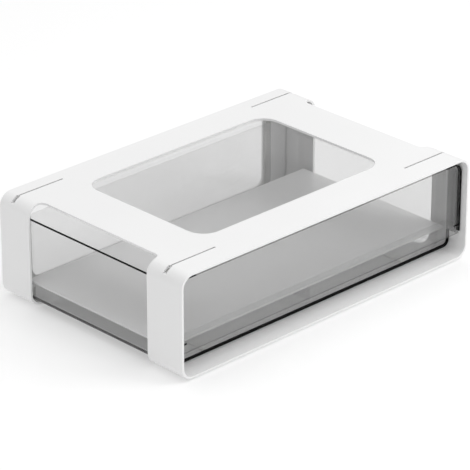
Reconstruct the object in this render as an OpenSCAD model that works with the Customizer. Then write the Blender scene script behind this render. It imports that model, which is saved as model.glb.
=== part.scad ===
// Towel cabinet: a white sleeve that is open at both sides, with one clear pull-out drawer.
// Millimetres, +Z up, front towards -Y, origin under the middle of the feet on the surface it stands on.

/* [Sleeve] */
// Width of the sleeve, left to right
sleeve_w = 430; // [400:5:480]
// Depth of the sleeve, front to back
sleeve_d = 282; // [270:2:330]
// Height of the sleeve without its feet
sleeve_h = 119; // [112:1:150]
// Thickness of the moulded wall
wall = 2.5; // [2:0.1:3]
// Outer radius of the long corners
corner_r = 15; // [12:1:18]
// Depth of the front pair of corner posts
front_post_d = 52; // [48:1:60]
// Depth of the rear pair of corner posts
rear_post_d = 46.5; // [40:0.5:60]
// How far each side cut-out reaches in over the top
cutout_reach = 19.6; // [17:0.1:24]
// Radius of the cut-outs' corners, seen from above
cutout_r = 8; // [4:1:10]

/* [Windows] */
// Width of the window in the top
window_w = 270; // [220:5:300]
// Depth of the window in the top
window_d = 185; // [150:5:190]
// Distance from the front rim to the window
window_front = 53.5; // [50:0.5:60]
// Radius of the window's corners
window_r = 22; // [10:1:30]
// Width of the window in the back
rear_window_w = 350; // [300:5:360]
// Height of the window in the back
rear_window_h = 104; // [90:1:106]
// Thickness of a clear pane
pane_t = 2; // [1.5:0.1:2.5]
// How far a pane reaches past its window on each side
pane_lap = 10; // [6:1:12]
// How far the rear pane reaches past its window at the top and bottom
rear_lap = 3; // [2:0.5:4]
// Thickness of the bonding tape
tape_t = 0.8; // [0.5:0.1:1]

/* [Vent slots] */
// Distance from the middle to a slot's inner end
slot_inner = 142; // [120:1:160]
// Distance from the middle to a slot's wide mouth
slot_mouth = 203; // [198:1:206]
// Width of the thin stretch
slot_w = 2; // [1:0.1:2.4]
// Width of the mouth on the rounded corner
mouth_w = 5; // [3:0.1:6]
// Distance of the front slots from the front rim
slot_front = 28.5; // [24:0.5:34]
// Distance of the rear slots from the back
slot_rear = 17.5; // [12:0.5:24]

/* [Drawer] */
// Side clearance between drawer and sleeve
side_gap = 1; // [0.8:0.1:1.5]
// Wall thickness of the tub
tub_t = 2.5; // [2:0.1:3]
// Underside of the tub above the underside of the sleeve
tub_base = 5.8; // [5.6:0.1:7]
// Height of the tub's side walls above the underside of the sleeve
tub_top = 101.5; // [95:0.5:102]
// Distance from the front rim to the tub's front wall
tub_front = 28; // [26:0.5:30]
// Distance from the front rim to the back of the tub
tub_rear = 250; // [240:1:250]
// Radius of the tub's lower corners
tub_r = 8; // [6:0.5:10]
// Distance from the front rim to the clear front
front_recess = 8; // [6:0.5:10]
// Thickness of the clear front
front_t = 3; // [2.5:0.1:4]
// Top of the clear front above the underside of the sleeve
front_top = 111; // [108:0.5:111]
// Bottom of the clear front, which is the top of the finger gap
front_base = 26; // [24:1:30]
// Height of the bar behind the lower edge of the front
bar_h = 12; // [10:0.5:14]
// Top of the raised floor above the underside of the sleeve
floor_top = 28.5; // [24:0.5:32]
// Thickness of the raised floor
floor_t = 2.5; // [2:0.1:3]

/* [Trim and fittings] */
// Width of the dark edge trim
trim_w = 1.6; // [1.2:0.1:2]
// Width of the thicker trim around the lower front
lower_front_w = 2.8; // [2:0.1:3.4]
// Width of the dark strip under each lower corner of the tub
lower_trim_w = 3; // [2:0.5:6]
// Height of the runners on the floor of the sleeve
runner_h = 2; // [1.5:0.1:2.2]
// Width of a runner
runner_w = 10; // [8:1:14]
// Distance of the runners from the middle
runner_x = 150; // [120:5:170]
// Radius of a rubber foot
foot_r = 8; // [6:0.5:10]
// Height of a rubber foot
foot_h = 2; // [1.5:0.1:3]
// Distance of the feet from the sides
foot_inset_x = 35; // [30:1:60]
// Distance of the feet from the front and the back
foot_inset_y = 30; // [25:1:60]

/* [Hidden] */
$fn = 64;
eps = 0.01;

white = [0.95, 0.95, 0.95];
smoke = [0.62, 0.64, 0.66, 0.5];
black = [0.05, 0.05, 0.055];

// Sleeve
inner_w = sleeve_w - 2 * wall;
inner_h = sleeve_h - 2 * wall;
inner_r = corner_r - wall;
rear_window_z = (sleeve_h - rear_window_h) / 2;
ceiling = sleeve_h - wall;
back_face = sleeve_d - wall;

// Drawer
tub_w = inner_w - 2 * side_gap;
tub_inner_w = tub_w - 2 * tub_t;
front_r = inner_r - side_gap / 2;
front_back = front_recess + front_t;
return_back = tub_front - tub_t;
return_t = 2;
front_z = front_top - front_base;

// Hold-downs: from behind the front wall's travel to just inside the front posts
hold_front = 34;
hold_back = 50;
hold_in = 198;
hold_screw_x = 203;
hold_screw_y = (hold_front + hold_back) / 2;
hold_low = 98;
hold_top = 111.5;
boss_r = 3.6;
screw_r = 1.3;
screw_head_r = 2.5;
screw_head_h = 1.8;
screw_sink = 3;

// Trims: the thin line on a side wall, and a front trim's turn over the top edge and its tab
rim_h = 1.4;
rim_w = 1.6;
turn_top = 24;
tab_w = 10;
tab_t = 0.6;

// Rails, glides and the stops that the closed drawer rests against
outer_rail_x = tub_inner_w / 2 - tub_r;
glide_t = tub_base - wall - runner_h - 0.1;
rail_t = 3;
stop_x = 199;
stop_h = 10;
stop_w = 10;
stop_t = 6;
bumper_t = 2;

// Carries its children along +Y, from one distance behind the front rim to another.
// The children are drawn flat with their height as the second coordinate, above the sleeve's underside.
module along_depth(from, to)
    translate([0, to - sleeve_d / 2, foot_h])
        rotate([90, 0, 0])
            linear_extrude(to - from) children();

// Carries its children up, from one height above the sleeve's underside to another.
// The children are drawn from above with the distance behind the front rim as the second coordinate.
module upwards(from, to)
    translate([0, -sleeve_d / 2, foot_h + from])
        linear_extrude(to - from) children();

// A flat rectangle with all corners round, standing on zero and centred sideways.
module round_rect(w, h, r) {
    translate([r - w / 2, 0]) square([w - 2 * r, h]);
    translate([-w / 2, r]) square([w, h - 2 * r]);
    for (x = [-1, 1], z = [r, h - r])
        translate([x * (w / 2 - r), z]) circle(r);
}

// A flat rectangle with its two lower corners round.
module tray_rect(w, h, r) {
    translate([r - w / 2, 0]) square([w - 2 * r, h]);
    translate([-w / 2, r]) square([w, h - r]);
    for (x = [-1, 1])
        translate([x * (w / 2 - r), r]) circle(r);
}

// A flat rectangle with its two upper corners round.
module arch_rect(w, h, r)
    translate([0, h]) mirror([0, 1]) tray_rect(w, h, r);

module mirror_left() mirror([1, 0, 0]) children();

// One white moulding: an open-fronted sleeve with a back wall, four posts and the windows.
module outer_shell() {
    color(white) difference() {
        union() {
            difference() {
                along_depth(0, sleeve_d) round_rect(sleeve_w, sleeve_h, corner_r);
                along_depth(-1, back_face)
                    translate([0, wall]) round_rect(inner_w, inner_h, inner_r);
            }
            for (x = [-1, 1]) {
                upwards(hold_top, ceiling + wall / 2)
                    translate([x * hold_screw_x, hold_screw_y]) circle(boss_r);
                upwards(wall / 2, wall + stop_h)
                    translate([x * stop_x - stop_w / 2, tub_rear + bumper_t + 0.2])
                        square([stop_w, stop_t]);
            }
        }
        for (side = [0, 1]) mirror([side, 0, 0]) side_cutout();
        upwards(sleeve_h / 2, sleeve_h + 1)
            translate([0, window_front]) round_rect(window_w, window_d, window_r);
        along_depth(back_face - 1, sleeve_d + 1)
            translate([0, rear_window_z]) round_rect(rear_window_w, rear_window_h, window_r / 2);
        for (side = [0, 1], y = [slot_front, sleeve_d - slot_rear])
            mirror([side, 0, 0]) vent_slot(y);
        for (x = [-1, 1])
            upwards(hold_top - 1, ceiling - 0.5)
                translate([x * hold_screw_x, hold_screw_y]) circle(screw_r + 0.05);
    }
}

// The opening between the two right-hand posts, which runs over both roundings.
module side_cutout()
    upwards(-1, sleeve_h + 1)
        translate([sleeve_w / 2 - cutout_reach, front_post_d]) {
            length = sleeve_d - front_post_d - rear_post_d;
            translate([cutout_r, 0]) square([sleeve_w / 2, length]);
            translate([0, cutout_r]) square([sleeve_w / 2, length - 2 * cutout_r]);
            for (y = [cutout_r, length - cutout_r])
                translate([cutout_r, y]) circle(cutout_r);
        }

// A thin slot in the top that ends in a wider mouth on the rounded corner.
module vent_slot(y) {
    upwards(ceiling - 1, sleeve_h + 1) {
        translate([slot_inner, y - slot_w / 2])
            square([slot_mouth - slot_inner + 1, slot_w]);
        translate([slot_inner, y]) circle(slot_w / 2);
    }
    upwards(sleeve_h - corner_r * 0.45, sleeve_h + 1)
        translate([slot_mouth, y - mouth_w / 2])
            square([corner_r, mouth_w]);
}

// Clear pane under the window in the top.
module top_pane()
    color(smoke) upwards(ceiling - tape_t - pane_t, ceiling - tape_t)
        translate([0, window_front - pane_lap])
            round_rect(window_w + 2 * pane_lap, window_d + 2 * pane_lap, window_r);

// Foam tape that bonds the top pane to the sleeve, all round the window.
module top_pane_tape()
    color("white") upwards(ceiling - tape_t, ceiling) difference() {
        translate([0, window_front - pane_lap])
            round_rect(window_w + 2 * pane_lap, window_d + 2 * pane_lap, window_r);
        translate([0, window_front - 1])
            round_rect(window_w + 2, window_d + 2, window_r + 1);
    }

// Clear pane on the inside of the back wall.
module rear_pane()
    color(smoke) along_depth(back_face - tape_t - pane_t, back_face - tape_t)
        translate([0, rear_window_z - rear_lap])
            round_rect(rear_window_w + 2 * pane_lap, rear_window_h + 2 * rear_lap, window_r / 2);

// Foam tape that bonds the rear pane to the back wall.
module rear_pane_tape()
    color("white") along_depth(back_face - tape_t, back_face) difference() {
        translate([0, rear_window_z - rear_lap])
            round_rect(rear_window_w + 2 * pane_lap, rear_window_h + 2 * rear_lap, window_r / 2);
        translate([0, rear_window_z - 1])
            round_rect(rear_window_w + 2, rear_window_h + 2, window_r / 2 + 1);
    }

// Low-friction strip that is stuck to the sleeve's floor. The drawer's glides run on it.
module runner(x)
    color(white) upwards(wall, wall + runner_h)
        translate([x - runner_w / 2, tub_front + 2])
            square([runner_w, tub_rear - tub_front - 6]);

// Block under the top, over the tub's side wall: it keeps the open drawer level, and its
// inner lip stops the tub's back wall at full travel.
module hold_down() {
    lip = tub_w / 2 - tub_t - 0.6;
    over_wall = tub_top + rim_h + 0.3;
    color(white) difference() {
        along_depth(hold_front, hold_back) polygon([
            [hold_in, hold_low], [lip, hold_low], [lip, over_wall], [tub_w / 2, over_wall],
            [tub_w / 2, over_wall + 3], [lip, hold_top], [hold_in, hold_top]]);
        upwards(hold_low - 1, hold_top + 1)
            translate([hold_screw_x, hold_screw_y]) circle(screw_r + 0.05);
        upwards(hold_low - 1, hold_low + screw_sink)
            translate([hold_screw_x, hold_screw_y]) circle(screw_head_r + 0.3);
    }
}

// Self-tapping screws that hold the two blocks to the bosses under the top.
module hold_down_screws()
    color("silver") for (x = [-1, 1])
        translate([x * hold_screw_x, hold_screw_y - sleeve_d / 2, foot_h]) difference() {
            union() {
                translate([0, 0, hold_low + screw_sink - screw_head_h])
                    cylinder(h = screw_head_h, r = screw_head_r);
                translate([0, 0, hold_low + screw_sink - eps])
                    cylinder(h = ceiling - 1 - hold_low - screw_sink, r = screw_r);
            }
            for (turn = [0, 90])
                translate([0, 0, hold_low + screw_sink - screw_head_h + 0.4])
                    rotate([0, 0, turn]) cube([2.6, 0.6, 1], center = true);
        }

// Foam pads on the sleeve's two back stops. The closed drawer rests against them.
module rear_bumpers()
    color(white) for (x = [-1, 1])
        along_depth(tub_rear + 0.2, tub_rear + 0.2 + bumper_t)
            translate([x * stop_x, wall + stop_h / 2]) circle(stop_h / 2 - 0.5);

// One stuck-on rubber foot. x and y are -1 or 1, for the corner it is near.
module foot(x, y)
    color(black)
        translate([x * (sleeve_w / 2 - foot_inset_x), y * (sleeve_d / 2 - foot_inset_y), 0])
            cylinder(h = foot_h, r1 = foot_r - 0.6, r2 = foot_r, $fn = 48);

// Clear five-sided tub with round lower corners and a front wall as tall as the clear front.
module drawer_tub() {
    color(smoke) difference() {
        union() {
            along_depth(tub_front - tub_t, tub_rear) translate([0, tub_base])
                tray_rect(tub_w, tub_top - tub_base, tub_r);
            along_depth(tub_front - tub_t, tub_front) intersection() {
                translate([0, tub_base]) tray_rect(tub_w, front_top - tub_base, tub_r);
                translate([0, tub_base]) arch_rect(tub_w, front_top - tub_base, front_r);
            }
        }
        along_depth(tub_front, tub_rear - tub_t) translate([0, tub_base + tub_t])
            tray_rect(tub_inner_w, tub_top, tub_r - tub_t);
    }
}

// Clear front with a return along its sides and top that is bonded to the tub's front wall.
// Between the two trims its top edge is as high as they are.
module drawer_front() {
    color(smoke) union() {
        difference() {
            along_depth(front_recess, return_back) translate([0, front_base])
                arch_rect(tub_w - 2 * trim_w, front_z - trim_w, front_r - trim_w);
            along_depth(front_back, return_back + 1) translate([0, front_base - 1])
                arch_rect(tub_w - 2 * (trim_w + return_t), front_z - trim_w - return_t + 1,
                          front_r - trim_w - return_t);
        }
        along_depth(front_recess, front_back)
            translate([-tub_w / 2 + turn_top + 0.2, front_top - 2 * trim_w])
                square([tub_w - 2 * turn_top - 0.4, 2 * trim_w]);
    }
}

// Solid clear bar behind the lower edge of the front: the edge that fingers pull on.
module pull_bar()
    color(smoke) along_depth(front_back, return_back)
        translate([-tub_w / 2 + trim_w + return_t, front_base])
            square([tub_w - 2 * (trim_w + return_t), bar_h]);

// Dark soft edging on one side of the clear front. It turns in over the top edge, and a thin tab
// grips the face at the height of the bar.
module front_trim()
    color(black) union() {
        along_depth(front_recess - 0.3, front_back + 1) difference() {
            translate([0, front_base + 3]) arch_rect(tub_w, front_z - 3, front_r);
            translate([0, front_base])
                arch_rect(tub_w - 2 * trim_w, front_z - trim_w, front_r - trim_w);
            translate([-tub_w, 0]) square([tub_w * 1.5 - turn_top, sleeve_h]);
        }
        along_depth(front_recess - tab_t, front_recess)
            translate([tub_w / 2 - tab_w, front_base + bar_h - trim_w])
                square([tab_w, trim_w]);
    }

// Dark edging under the tub's front wall, round its lower corners and up to the finger edge.
module lower_front_trim()
    color(black) along_depth(return_back - 2.2, return_back) difference() {
        translate([0, tub_base]) tray_rect(tub_w, front_base - tub_base - 0.4, tub_r);
        translate([0, tub_base + lower_front_w])
            tray_rect(tub_w - 2 * lower_front_w, front_base, tub_r - lower_front_w);
    }

// Dark edging on top of one side wall of the tub.
module rim_trim()
    color(black) upwards(tub_top, tub_top + rim_h)
        translate([tub_w / 2 - rim_w - 0.4, tub_front])
            square([rim_w, tub_rear - tub_front]);

// Dark edge strip under one lower corner of the tub, behind the front posts.
module lower_trim()
    color(black) upwards(tub_base - trim_w, tub_base)
        translate([tub_w / 2 - tub_r - lower_trim_w, front_post_d + 10])
            square([lower_trim_w, tub_rear - front_post_d - 11]);

// Raised floor that keeps the towels above whatever drips off them.
module floor_plate()
    color(smoke) upwards(floor_top - floor_t, floor_top)
        translate([-tub_inner_w / 2 + 1, tub_front + 1])
            square([tub_inner_w - 2, tub_rear - tub_t - tub_front - 2]);

// Upright rail that carries the raised floor, standing on the tub's bottom.
module floor_rail(x)
    color(smoke) upwards(tub_base + tub_t, floor_top - floor_t)
        translate([x - rail_t / 2, tub_front + 4])
            square([rail_t, tub_rear - tub_t - tub_front - 8]);

// Slippery strip under the tub, over one runner.
module glide(x)
    color([0.85, 0.85, 0.83]) upwards(tub_base - glide_t, tub_base)
        translate([x - runner_w / 2 - 2, tub_front + 32])
            square([runner_w + 4, tub_rear - tub_front - 36]);

outer_shell();
top_pane();
top_pane_tape();
rear_pane();
rear_pane_tape();
runner(-runner_x);  // left_runner
runner(runner_x);  // right_runner
mirror_left() hold_down();  // left_hold_down
hold_down();  // right_hold_down
hold_down_screws();
rear_bumpers();
foot(-1, -1);  // front_left_foot
foot(1, -1);  // front_right_foot
foot(-1, 1);  // rear_left_foot
foot(1, 1);  // rear_right_foot
drawer_tub();
drawer_front();
pull_bar();
mirror_left() front_trim();  // left_front_trim
front_trim();  // right_front_trim
lower_front_trim();
mirror_left() rim_trim();  // left_rim_trim
rim_trim();  // right_rim_trim
mirror_left() lower_trim();  // left_lower_trim
lower_trim();  // right_lower_trim
floor_plate();
floor_rail(-outer_rail_x);  // left_floor_rail
floor_rail(0);  // centre_floor_rail
floor_rail(outer_rail_x);  // right_floor_rail
glide(-runner_x);  // left_glide
glide(runner_x);  // right_glide
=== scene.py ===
import math

import bpy
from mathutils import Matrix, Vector


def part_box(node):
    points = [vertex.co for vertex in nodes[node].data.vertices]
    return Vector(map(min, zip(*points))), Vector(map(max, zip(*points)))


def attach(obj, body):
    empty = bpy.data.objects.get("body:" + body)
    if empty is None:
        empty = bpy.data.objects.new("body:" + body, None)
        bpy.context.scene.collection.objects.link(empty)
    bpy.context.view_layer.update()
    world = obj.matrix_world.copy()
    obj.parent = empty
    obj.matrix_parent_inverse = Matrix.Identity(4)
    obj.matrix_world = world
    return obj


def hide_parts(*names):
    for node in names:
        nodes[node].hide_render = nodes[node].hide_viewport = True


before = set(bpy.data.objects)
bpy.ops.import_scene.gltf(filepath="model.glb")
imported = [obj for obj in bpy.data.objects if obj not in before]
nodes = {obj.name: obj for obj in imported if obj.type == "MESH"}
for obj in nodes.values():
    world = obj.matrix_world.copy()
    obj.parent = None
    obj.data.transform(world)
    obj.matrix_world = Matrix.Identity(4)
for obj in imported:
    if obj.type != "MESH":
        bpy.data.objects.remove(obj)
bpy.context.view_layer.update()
MM = 0.001

# ---------------------------------------------------------------------------------------------
# Studio: the cabinet stands on a softly back-lit white sheet under a wide white sky that fades
# towards the horizon. One large soft box hangs above it, and a smaller one stands in front of it
# to the right. The camera looks down on its front left corner through a long lens.


def grey(value):
    """A neutral colour, from 0 for black to 1 for white."""
    return (value, value, value, 1)


scene = bpy.context.scene
scene.view_settings.view_transform = "Standard"
light_bounces = 32
scene.cycles.max_bounces = light_bounces
scene.cycles.transmission_bounces = light_bounces
scene.cycles.transparent_max_bounces = light_bounces

horizon_glow, zenith_glow = 0.38, 0.95
sky = bpy.data.worlds.new("studio_sky")
sky.use_nodes = True
direction = sky.node_tree.nodes.new("ShaderNodeTexCoord")
height = sky.node_tree.nodes.new("ShaderNodeSeparateXYZ")
sky.node_tree.links.new(direction.outputs["Generated"], height.inputs["Vector"])
glow = sky.node_tree.nodes.new("ShaderNodeMapRange")
glow.inputs["To Min"].default_value = horizon_glow
glow.inputs["To Max"].default_value = zenith_glow
sky.node_tree.links.new(height.outputs["Z"], glow.inputs["Value"])
backdrop = sky.node_tree.nodes["Background"]
backdrop.inputs["Color"].default_value = grey(1)
sky.node_tree.links.new(glow.outputs["Result"], backdrop.inputs["Strength"])
scene.world = sky

floor_reach = 6.0
floor_drop = 0.2 * MM
sheet_white = 0.76
sheet_glow = 0.25
floor_mesh = bpy.data.meshes.new("studio_floor")
floor_mesh.from_pydata(
    [(x * floor_reach, y * floor_reach, -floor_drop) for x, y in ((-1, -1), (1, -1), (1, 1), (-1, 1))],
    [], [(0, 1, 2, 3)])
floor = bpy.data.objects.new("studio_floor", floor_mesh)
scene.collection.objects.link(floor)
paper = bpy.data.materials.new("white_sheet")
paper.use_nodes = True
sheet = paper.node_tree.nodes["Principled BSDF"]
sheet.inputs["Base Color"].default_value = grey(sheet_white)
sheet.inputs["Roughness"].default_value = 0.9
sheet.inputs["Specular IOR Level"].default_value = 0.2
sheet.inputs["Emission Color"].default_value = grey(1)
sheet.inputs["Emission Strength"].default_value = sheet_glow
floor_mesh.materials.append(paper)


def soft_box(name, place, target, size, power):
    """A square soft box at place, turned to its target."""
    light = bpy.data.lights.new(name, "AREA")
    light.shape = "SQUARE"
    light.size = size
    light.energy = power
    lamp = bpy.data.objects.new(name, light)
    lamp.location = place
    lamp.rotation_euler = (Vector(target) - Vector(place)).to_track_quat("-Z", "Y").to_euler()
    scene.collection.objects.link(lamp)


soft_box("overhead_soft_box", place=(0.2, -0.3, 2.4), target=(0, 0, 0.05), size=2.2, power=14)
soft_box("front_soft_box", place=(0.96, -1.32, 1.22), target=(0.05, -0.1, 0.03), size=0.9, power=8.5)

long_lens = 231.67
azimuth, elevation, distance = math.radians(-44.11), math.radians(25.31), 3.2724
aim_height = 0.062
aim_left, aim_down = 0.00295, 0.01113
camera = bpy.data.cameras.new("camera")
camera.sensor_width = 36
camera.lens = long_lens
camera.clip_start, camera.clip_end = 0.1, 50
eye = bpy.data.objects.new("camera", camera)
back = Vector((math.sin(azimuth) * math.cos(elevation),
               -math.cos(azimuth) * math.cos(elevation), math.sin(elevation)))
right = Vector((math.cos(azimuth), math.sin(azimuth), 0))
up = back.cross(right)
aim = Vector((0, 0, aim_height)) - aim_left * right - aim_down * up
eye.location = aim + back * distance
eye.rotation_mode = "QUATERNION"
eye.rotation_quaternion = (-back).to_track_quat("-Z", "Y")
scene.collection.objects.link(eye)
scene.camera = eye

# ---------------------------------------------------------------------------------------------
# Outer shell: one injection moulding in white ABS with a satin, very finely grained skin, which
# carries everything else. Its sharp tool edges are broken by a small radius, and hands and cloths
# have polished them a little. Those edges also carry a painted highlight, and its narrow slots carry
# painted shade.

weld_gap = 0.002 * MM
flat_within = math.radians(0.5)
round_from = math.radians(35)
patches_per_metre = 9
gloss_spread = 0.06
# Reach of the edge mask for the painted highlight and the wear on rounded edges.
highlight_and_wear_band = 1.2 * MM
# Reach of the painted shade in narrow slots.
slot_shade_reach = 5 * MM


def soften(name, radius, shrink=0.0):
    """Rounds the sharp edges of a carried-over part and can draw its skin in by a hair."""
    part = nodes[name]
    weld = part.modifiers.new("weld", "WELD")
    weld.merge_threshold = weld_gap
    flat = part.modifiers.new("flat faces", "DECIMATE")
    flat.decimate_type = "DISSOLVE"
    flat.angle_limit = flat_within
    if shrink:
        thin = part.modifiers.new("hairline gap", "DISPLACE")
        thin.mid_level = 0
        thin.strength = -shrink
    if radius:
        bevel = part.modifiers.new("broken edges", "BEVEL")
        bevel.width = radius
        bevel.segments = 3
        bevel.limit_method = "ANGLE"
        bevel.angle_limit = round_from
        bevel.use_clamp_overlap = True
        even = part.modifiers.new("flat shading", "WEIGHTED_NORMAL")
        even.mode = "FACE_AREA"
        even.weight = 90
    for face in part.data.polygons:
        face.use_smooth = True
    return part


def dress(piece, material):
    """Gives every slot of a piece the same material."""
    if not piece.material_slots:
        piece.data.materials.append(material)
    for place in piece.material_slots:
        place.material = material


def highlight_and_wear_edges(tree, reach):
    """A mask that is 1 along the edges of a part and 0 on its flat faces, from how far the
    normal of the rounded surface turns away from the true one."""
    rounded = tree.nodes.new("ShaderNodeBevel")
    rounded.inputs["Radius"].default_value = reach
    true = tree.nodes.new("ShaderNodeNewGeometry")
    match = tree.nodes.new("ShaderNodeVectorMath")
    match.operation = "DOT_PRODUCT"
    tree.links.new(rounded.outputs["Normal"], match.inputs[0])
    tree.links.new(true.outputs["Normal"], match.inputs[1])
    mask = tree.nodes.new("ShaderNodeMapRange")
    mask.inputs["From Min"].default_value = 0.995
    mask.inputs["From Max"].default_value = 0.9
    tree.links.new(match.outputs["Value"], mask.inputs["Value"])
    return mask.outputs["Result"]


def painted_slot_shade(tree, reach):
    """A mask of painted shade that is 1 deep inside the narrow slots of a part and 0 on its open
    faces, from how much of the part's own skin lies around each point."""
    shelter = tree.nodes.new("ShaderNodeAmbientOcclusion")
    shelter.samples = 6
    shelter.only_local = True
    shelter.inputs["Distance"].default_value = reach
    mask = tree.nodes.new("ShaderNodeMapRange")
    mask.inputs["From Min"].default_value = 0.75
    mask.inputs["From Max"].default_value = 0.25
    tree.links.new(shelter.outputs["AO"], mask.inputs["Value"])
    return mask.outputs["Result"]


def shade(colour, share):
    """The colour times a share, below 1 for darker and above 1 for lighter."""
    return [*[min(1, part * share) for part in colour], 1]


def moulded_plastic(name, colour, rough, grain_size, grain_depth, spread=0.02, edge_highlight_and_wear=0.0, slot_shade=0.0):
    """Satin moulded plastic: a fine grain in the skin, slow patches of tone and gloss, edges with a
    painted highlight that are also a little smoother from wear, and painted shade in its narrow slots."""
    material = bpy.data.materials.new(name)
    material.use_nodes = True
    tree = material.node_tree
    shader = tree.nodes["Principled BSDF"]
    place = tree.nodes.new("ShaderNodeTexCoord")
    patches = tree.nodes.new("ShaderNodeTexNoise")
    patches.inputs["Scale"].default_value = patches_per_metre
    patches.inputs["Detail"].default_value = 3
    tree.links.new(place.outputs["Object"], patches.inputs["Vector"])
    tone = tree.nodes.new("ShaderNodeMix")
    tone.data_type = "RGBA"
    tone.inputs["A"].default_value = shade(colour, 1 - spread)
    tone.inputs["B"].default_value = shade(colour, 1 + spread)
    tree.links.new(patches.outputs["Fac"], tone.inputs["Factor"])
    gloss = tree.nodes.new("ShaderNodeMapRange")
    gloss.inputs["To Min"].default_value = rough - gloss_spread
    gloss.inputs["To Max"].default_value = rough + gloss_spread
    tree.links.new(patches.outputs["Fac"], gloss.inputs["Value"])
    skin_tone, skin_gloss = tone.outputs["Result"], gloss.outputs["Result"]
    if edge_highlight_and_wear:
        # Painted highlight: rounded edges are made lighter. The lower roughness there is real wear.
        edges = highlight_and_wear_edges(tree, highlight_and_wear_band)
        lighter = tree.nodes.new("ShaderNodeMix")
        lighter.data_type = "RGBA"
        lighter.inputs["B"].default_value = shade(colour, 1 + edge_highlight_and_wear)
        tree.links.new(edges, lighter.inputs["Factor"])
        tree.links.new(skin_tone, lighter.inputs["A"])
        polished = tree.nodes.new("ShaderNodeMix")
        polished.data_type = "FLOAT"
        polished.inputs["B"].default_value = rough * 0.7
        tree.links.new(edges, polished.inputs["Factor"])
        tree.links.new(skin_gloss, polished.inputs["A"])
        skin_tone, skin_gloss = lighter.outputs["Result"], polished.outputs["Result"]
    # Painted shade: narrow slots are darkened by how enclosed they are.
    if slot_shade:
        slot_shaded = tree.nodes.new("ShaderNodeMix")
        slot_shaded.data_type = "RGBA"
        slot_shaded.inputs["B"].default_value = shade(colour, 1 - slot_shade)
        tree.links.new(painted_slot_shade(tree, slot_shade_reach), slot_shaded.inputs["Factor"])
        tree.links.new(skin_tone, slot_shaded.inputs["A"])
        skin_tone = slot_shaded.outputs["Result"]
    tree.links.new(skin_tone, shader.inputs["Base Color"])
    tree.links.new(skin_gloss, shader.inputs["Roughness"])
    grain = tree.nodes.new("ShaderNodeTexNoise")
    grain.inputs["Scale"].default_value = 1 / grain_size
    grain.inputs["Detail"].default_value = 2
    tree.links.new(place.outputs["Object"], grain.inputs["Vector"])
    skin = tree.nodes.new("ShaderNodeBump")
    skin.inputs["Distance"].default_value = grain_depth
    skin.inputs["Strength"].default_value = 0.5
    tree.links.new(grain.outputs["Fac"], skin.inputs["Height"])
    tree.links.new(skin.outputs["Normal"], shader.inputs["Normal"])
    return material


soften("outer_shell", radius=0.35 * MM)
shell_white = moulded_plastic("white_shell", (0.86, 0.86, 0.86), rough=0.42, grain_size=0.9 * MM,
                              grain_depth=0.01 * MM, edge_highlight_and_wear=0.06, slot_shade=0.6)
dress(nodes["outer_shell"], shell_white)

# ---------------------------------------------------------------------------------------------
# Clear panes: 2 mm lightly smoked cast acrylic with polished faces and sawn, darker edges, one
# under the window in the top and one inside the back wall. Each is stuck on with foam tape.

acrylic_ior = 1.49
milk_white = 0.97
milk_seep = 0.4
wiping_marks = (9, 90, 60)


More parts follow.
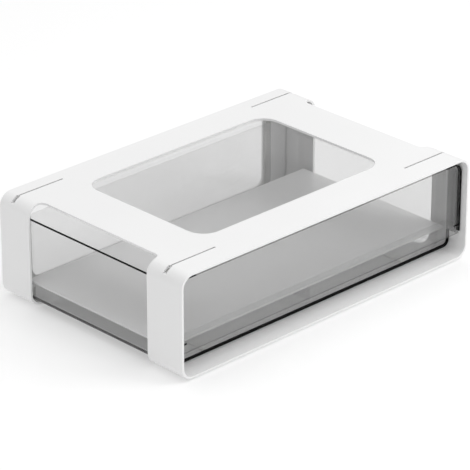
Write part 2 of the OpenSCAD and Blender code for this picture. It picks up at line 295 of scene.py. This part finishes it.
def smoked_acrylic(name, tint, edge_tint=None, faces_along=None, rough=0.02, frost=0.0,
                   painted_shade_above=None):
    """Acrylic plate: each face darkens a little what is seen through it, its edges more, and the
    outer faces mirror more at a glancing angle. A frosted plate also scatters some light. The
    stretch above the given height carries painted shade, as dark as its edges."""
    material = bpy.data.materials.new(name)
    material.use_nodes = True
    tree = material.node_tree
    tree.nodes.remove(tree.nodes["Principled BSDF"])
    place = tree.nodes.new("ShaderNodeTexCoord")
    clear = tree.nodes.new("ShaderNodeBsdfTransparent")
    clear.inputs["Color"].default_value = grey(tint)
    if edge_tint:
        facing = tree.nodes.new("ShaderNodeSeparateXYZ")
        tree.links.new(place.outputs["Normal"], facing.inputs["Vector"])
        size = tree.nodes.new("ShaderNodeMath")
        size.operation = "ABSOLUTE"
        tree.links.new(facing.outputs[faces_along], size.inputs[0])
        flat = tree.nodes.new("ShaderNodeMapRange")
        flat.inputs["From Min"].default_value = 0.3
        flat.inputs["From Max"].default_value = 0.8
        tree.links.new(size.outputs["Value"], flat.inputs["Value"])
        clear_share = flat.outputs["Result"]
        # Painted shade: above the given height the plate is as dark as its edges.
        if painted_shade_above:
            spot = tree.nodes.new("ShaderNodeSeparateXYZ")
            tree.links.new(place.outputs["Object"], spot.inputs["Vector"])
            under = tree.nodes.new("ShaderNodeMath")
            under.operation = "LESS_THAN"
            under.inputs[1].default_value = painted_shade_above
            tree.links.new(spot.outputs["Z"], under.inputs[0])
            both = tree.nodes.new("ShaderNodeMath")
            both.operation = "MULTIPLY"
            tree.links.new(under.outputs["Value"], both.inputs[0])
            tree.links.new(clear_share, both.inputs[1])
            clear_share = both.outputs["Value"]
        depth = tree.nodes.new("ShaderNodeMix")
        depth.data_type = "RGBA"
        depth.inputs["A"].default_value = grey(edge_tint)
        depth.inputs["B"].default_value = grey(tint)
        tree.links.new(clear_share, depth.inputs["Factor"])
        tree.links.new(depth.outputs["Result"], clear.inputs["Color"])
    body = clear.outputs["BSDF"]
    if frost:
        milk = tree.nodes.new("ShaderNodeBsdfDiffuse")
        milk.inputs["Color"].default_value = grey(milk_white)
        seep = tree.nodes.new("ShaderNodeBsdfTranslucent")
        seep.inputs["Color"].default_value = grey(milk_white)
        cloud = tree.nodes.new("ShaderNodeMixShader")
        cloud.inputs["Fac"].default_value = milk_seep
        tree.links.new(milk.outputs["BSDF"], cloud.inputs[1])
        tree.links.new(seep.outputs["BSDF"], cloud.inputs[2])
        frosted = tree.nodes.new("ShaderNodeMixShader")
        frosted.inputs["Fac"].default_value = frost
        tree.links.new(clear.outputs["BSDF"], frosted.inputs[1])
        tree.links.new(cloud.outputs["Shader"], frosted.inputs[2])
        body = frosted.outputs["Shader"]
    mirror = tree.nodes.new("ShaderNodeBsdfGlossy")
    mirror.inputs["Color"].default_value = grey(1)
    wipe = tree.nodes.new("ShaderNodeMapping")
    wipe.inputs["Scale"].default_value = wiping_marks
    tree.links.new(place.outputs["Object"], wipe.inputs["Vector"])
    marks = tree.nodes.new("ShaderNodeTexNoise")
    marks.inputs["Scale"].default_value = 1
    marks.inputs["Detail"].default_value = 5
    tree.links.new(wipe.outputs["Vector"], marks.inputs["Vector"])
    polish = tree.nodes.new("ShaderNodeMapRange")
    polish.inputs["From Min"].default_value = 0.3
    polish.inputs["From Max"].default_value = 0.8
    polish.inputs["To Min"].default_value = rough
    polish.inputs["To Max"].default_value = rough + 0.04
    tree.links.new(marks.outputs["Fac"], polish.inputs["Value"])
    tree.links.new(polish.outputs["Result"], mirror.inputs["Roughness"])
    glance = tree.nodes.new("ShaderNodeFresnel")
    glance.inputs["IOR"].default_value = acrylic_ior
    side = tree.nodes.new("ShaderNodeNewGeometry")
    outer = tree.nodes.new("ShaderNodeMath")
    outer.operation = "SUBTRACT"
    outer.inputs[0].default_value = 1
    tree.links.new(side.outputs["Backfacing"], outer.inputs[1])
    share = tree.nodes.new("ShaderNodeMath")
    share.operation = "MULTIPLY"
    tree.links.new(glance.outputs["Fac"], share.inputs[0])
    tree.links.new(outer.outputs["Value"], share.inputs[1])
    mix = tree.nodes.new("ShaderNodeMixShader")
    tree.links.new(share.outputs["Value"], mix.inputs["Fac"])
    tree.links.new(body, mix.inputs[1])
    tree.links.new(mirror.outputs["BSDF"], mix.inputs[2])
    tree.links.new(mix.outputs["Shader"], tree.nodes["Material Output"].inputs["Surface"])
    return material


smoke = 0.935
sawn_edge = 0.8
pane_gap = 0.03 * MM
for pane, across in (("top_pane", "Z"), ("rear_pane", "Y")):
    soften(pane, radius=0.25 * MM, shrink=pane_gap)
    dress(nodes[pane], smoked_acrylic(pane + "_acrylic", smoke, sawn_edge, across))

# ---------------------------------------------------------------------------------------------
# Bonding tape of the panes: white closed-cell acrylic foam, sticky on both sides and die-cut to
# the outline of each window.

foam = moulded_plastic("white_foam_tape", (0.88, 0.88, 0.86), rough=0.9, grain_size=0.3 * MM,
                       grain_depth=0.05 * MM)
for tape in ("top_pane_tape", "rear_pane_tape"):
    soften(tape, radius=0)
    dress(nodes[tape], foam)

# ---------------------------------------------------------------------------------------------
# Runners and hold-down blocks: extruded and milled white acetal, waxy and slippery. The runners
# are stuck to the shell's floor, and each block is screwed up into a boss.

# The acetal's rounded edges carry a painted highlight and are a little smoother from wear.
acetal = moulded_plastic("white_acetal", (0.83, 0.83, 0.81), rough=0.35, grain_size=0.6 * MM,
                         grain_depth=0.004 * MM, edge_highlight_and_wear=0.05)
for block in ("left_runner", "right_runner", "left_hold_down", "right_hold_down"):
    soften(block, radius=0.3 * MM)
    dress(nodes[block], acetal)

# ---------------------------------------------------------------------------------------------
# Screws of the hold-down blocks: self-tapping steel with a cross recess, zinc plated, driven up
# through each block into the shell's boss.

zinc = moulded_plastic("zinc_plate", (0.62, 0.62, 0.64), rough=0.32, grain_size=0.5 * MM,
                       grain_depth=0.004 * MM)
zinc.node_tree.nodes["Principled BSDF"].inputs["Metallic"].default_value = 1
dress(soften("hold_down_screws", radius=0.15 * MM), zinc)

# ---------------------------------------------------------------------------------------------
# Feet: black moulded rubber discs, stuck under the shell. Each has a rounded rim, a ring groove
# and a shallow cup in its sole, so that it grips a smooth counter.

rubber = moulded_plastic("black_rubber", (0.035, 0.035, 0.037), rough=0.75, grain_size=0.35 * MM,
                         grain_depth=0.02 * MM, spread=0.15)


def turned(name, profile, place, to_front=False):
    """A round piece from its profile of radius and height, both in mm, standing on place. With
    to_front its height runs towards the front instead of up."""
    turns = 64
    points, faces = [], []
    for radius, rise in profile:
        for step in range(turns):
            angle = 2 * math.pi * step / turns
            across, along = radius * math.cos(angle), radius * math.sin(angle)
            offset = (across, -rise, along) if to_front else (across, along, rise)
            points.append(Vector(place) + MM * Vector(offset))
    for ring in range(len(profile) - 1):
        for step in range(turns):
            after = (step + 1) % turns
            low, high = ring * turns, (ring + 1) * turns
            faces.append((low + step, low + after, high + after, high + step))
    faces.append(tuple(reversed(range(turns))))
    faces.append(tuple(range((len(profile) - 1) * turns, len(profile) * turns)))
    mesh = bpy.data.meshes.new(name)
    mesh.from_pydata(points, [], faces)
    mesh.update()
    for face in mesh.polygons:
        face.use_smooth = True
    piece = bpy.data.objects.new(name, mesh)
    scene.collection.objects.link(piece)
    crease = piece.modifiers.new("crisp creases", "WEIGHTED_NORMAL")
    crease.mode = "FACE_AREA"
    return piece


def rounded_rim(outer, radius):
    """Profile points of a quarter-round rim, from the sole up to the side."""
    steps = 6
    return [(outer - radius + radius * math.sin(math.pi / 2 * k / steps),
             radius - radius * math.cos(math.pi / 2 * k / steps)) for k in range(steps + 1)]


foot_low, foot_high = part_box("front_left_foot")
foot_radius = (foot_high[0] - foot_low[0]) / 2 / MM
foot_rise = (foot_high[2] - foot_low[2]) / MM
cup_rim, cup_depth = 3.2, 0.45
groove_in, groove_out, groove_depth = 5.0, 5.6, 0.5
lip, slope, draft = 0.08, 0.1, 0.2
sole_round, top_round = 0.7, 0.25
foot_profile = ([(0.4, cup_depth), (cup_rim - 0.4, cup_depth - 0.05),
                 (cup_rim, 0.05), (cup_rim + 0.3, 0),
                 (groove_in - slope, 0), (groove_in, lip), (groove_in + slope, groove_depth),
                 (groove_out - slope, groove_depth), (groove_out, lip), (groove_out + slope, 0)]
                + rounded_rim(foot_radius - draft, sole_round)
                + [(foot_radius, foot_rise - top_round), (foot_radius - 0.05, foot_rise - 0.05),
                   (foot_radius - top_round, foot_rise)])
for corner in ("front_left", "front_right", "rear_left", "rear_right"):
    low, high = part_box(corner + "_foot")
    rubber_foot = turned(corner + "_rubber_foot", foot_profile,
                         ((low[0] + high[0]) / 2, (low[1] + high[1]) / 2, low[2]))
    dress(rubber_foot, rubber)
    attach(rubber_foot, "cabinet")
    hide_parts(corner + "_foot")

# ---------------------------------------------------------------------------------------------
# Bumpers on the two back stops: stick-on pads of white closed-cell foam with domed faces, which
# the closed drawer comes to rest against.

pads_low, pads_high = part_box("rear_bumpers")
pad_radius = (pads_high[2] - pads_low[2]) / 2 / MM
pad_rise = (pads_high[1] - pads_low[1]) / MM
pad_side, pad_cut, pad_tip = 0.6, 0.1, 0.3
dome_steps = 7
dome = [(pad_radius * math.cos(math.pi / 2 * k / dome_steps),
         pad_side + (pad_rise - pad_side) * math.sin(math.pi / 2 * k / dome_steps))
        for k in range(dome_steps)]
bumper_profile = [(pad_radius - pad_cut, 0), (pad_radius, pad_cut)] + dome + [(pad_tip, pad_rise)]
pad_height = (pads_low[2] + pads_high[2]) / 2
for side, middle in (("left", pads_low[0] + pad_radius * MM), ("right", pads_high[0] - pad_radius * MM)):
    pad = turned(side + "_foam_bumper", bumper_profile, (middle, pads_high[1], pad_height),
                 to_front=True)
    dress(pad, foam)
    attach(pad, "cabinet")
    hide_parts("rear_bumpers")

# ---------------------------------------------------------------------------------------------
# Drawer tub, front and pull bar: clear, lightly smoked acrylic. The tub is hot-formed with round
# lower corners, and the front and the bar are bonded to it with clear cement. A darker strip of
# painted shade runs along the front's top edge.

polished_edge = 0.3 * MM
skin_gap = 0.04 * MM
# A strip of painted shade along the front's top edge, as dark as the front's edges.
painted_shade_strip = 1.8 * MM
front_edge_and_painted_shade_tint = 0.66
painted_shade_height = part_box("drawer_front")[1][2] - painted_shade_strip
for panel in ("drawer_tub", "drawer_front", "pull_bar"):
    soften(panel, polished_edge, shrink=skin_gap)
dress(nodes["drawer_tub"], smoked_acrylic("tub_acrylic", smoke))
dress(nodes["drawer_front"], smoked_acrylic("front_acrylic", smoke, front_edge_and_painted_shade_tint, "Y",
                                            painted_shade_above=painted_shade_height))
dress(nodes["pull_bar"], smoked_acrylic("bar_acrylic", smoke))

# ---------------------------------------------------------------------------------------------
# Raised floor and its rails: the same acrylic, the floor frosted so that a wet towel doesn't
# stick to it. It lies loose on three clear rails that are bonded to the tub.

soften("floor_plate", polished_edge, shrink=skin_gap)
dress(nodes["floor_plate"], smoked_acrylic("frosted_acrylic", 0.95, rough=0.3, frost=0.75))
rail_acrylic = smoked_acrylic("rail_acrylic", smoke)
for rail in ("left_floor_rail", "centre_floor_rail", "right_floor_rail"):
    soften(rail, polished_edge, shrink=skin_gap)
    dress(nodes[rail], rail_acrylic)

# ---------------------------------------------------------------------------------------------
# Glides: strips of slippery cream plastic tape, stuck under the tub, that slide on the shell's
# two runners.

glide = moulded_plastic("glide_strip", (0.72, 0.72, 0.70), rough=0.5, grain_size=0.4 * MM,
                        grain_depth=0.01 * MM)
for strip in ("left_glide", "right_glide"):
    soften(strip, radius=0.2 * MM)
    dress(nodes[strip], glide)

# ---------------------------------------------------------------------------------------------
# Edging: black strips with rounded lips, along the front, the side walls and the lower edges of
# the tub. Their black is painted shade, in place of the dark lines that refraction draws along the
# acrylic's edges.

# Painted shade: the edging's near-black stands in for the dark lines at the acrylic's edges.
shade_edging = moulded_plastic("black_silicone", (0.003, 0.003, 0.0032), rough=0.6, grain_size=0.5 * MM,
                           grain_depth=0.01 * MM, spread=0.15)
shade_edging.node_tree.nodes["Principled BSDF"].inputs["Specular IOR Level"].default_value = 0.08
for edging in ("left_front_trim", "right_front_trim", "lower_front_trim", "left_rim_trim",
               "right_rim_trim", "left_lower_trim", "right_lower_trim"):
    soften(edging, radius=0.2 * MM)
    dress(nodes[edging], shade_edging)
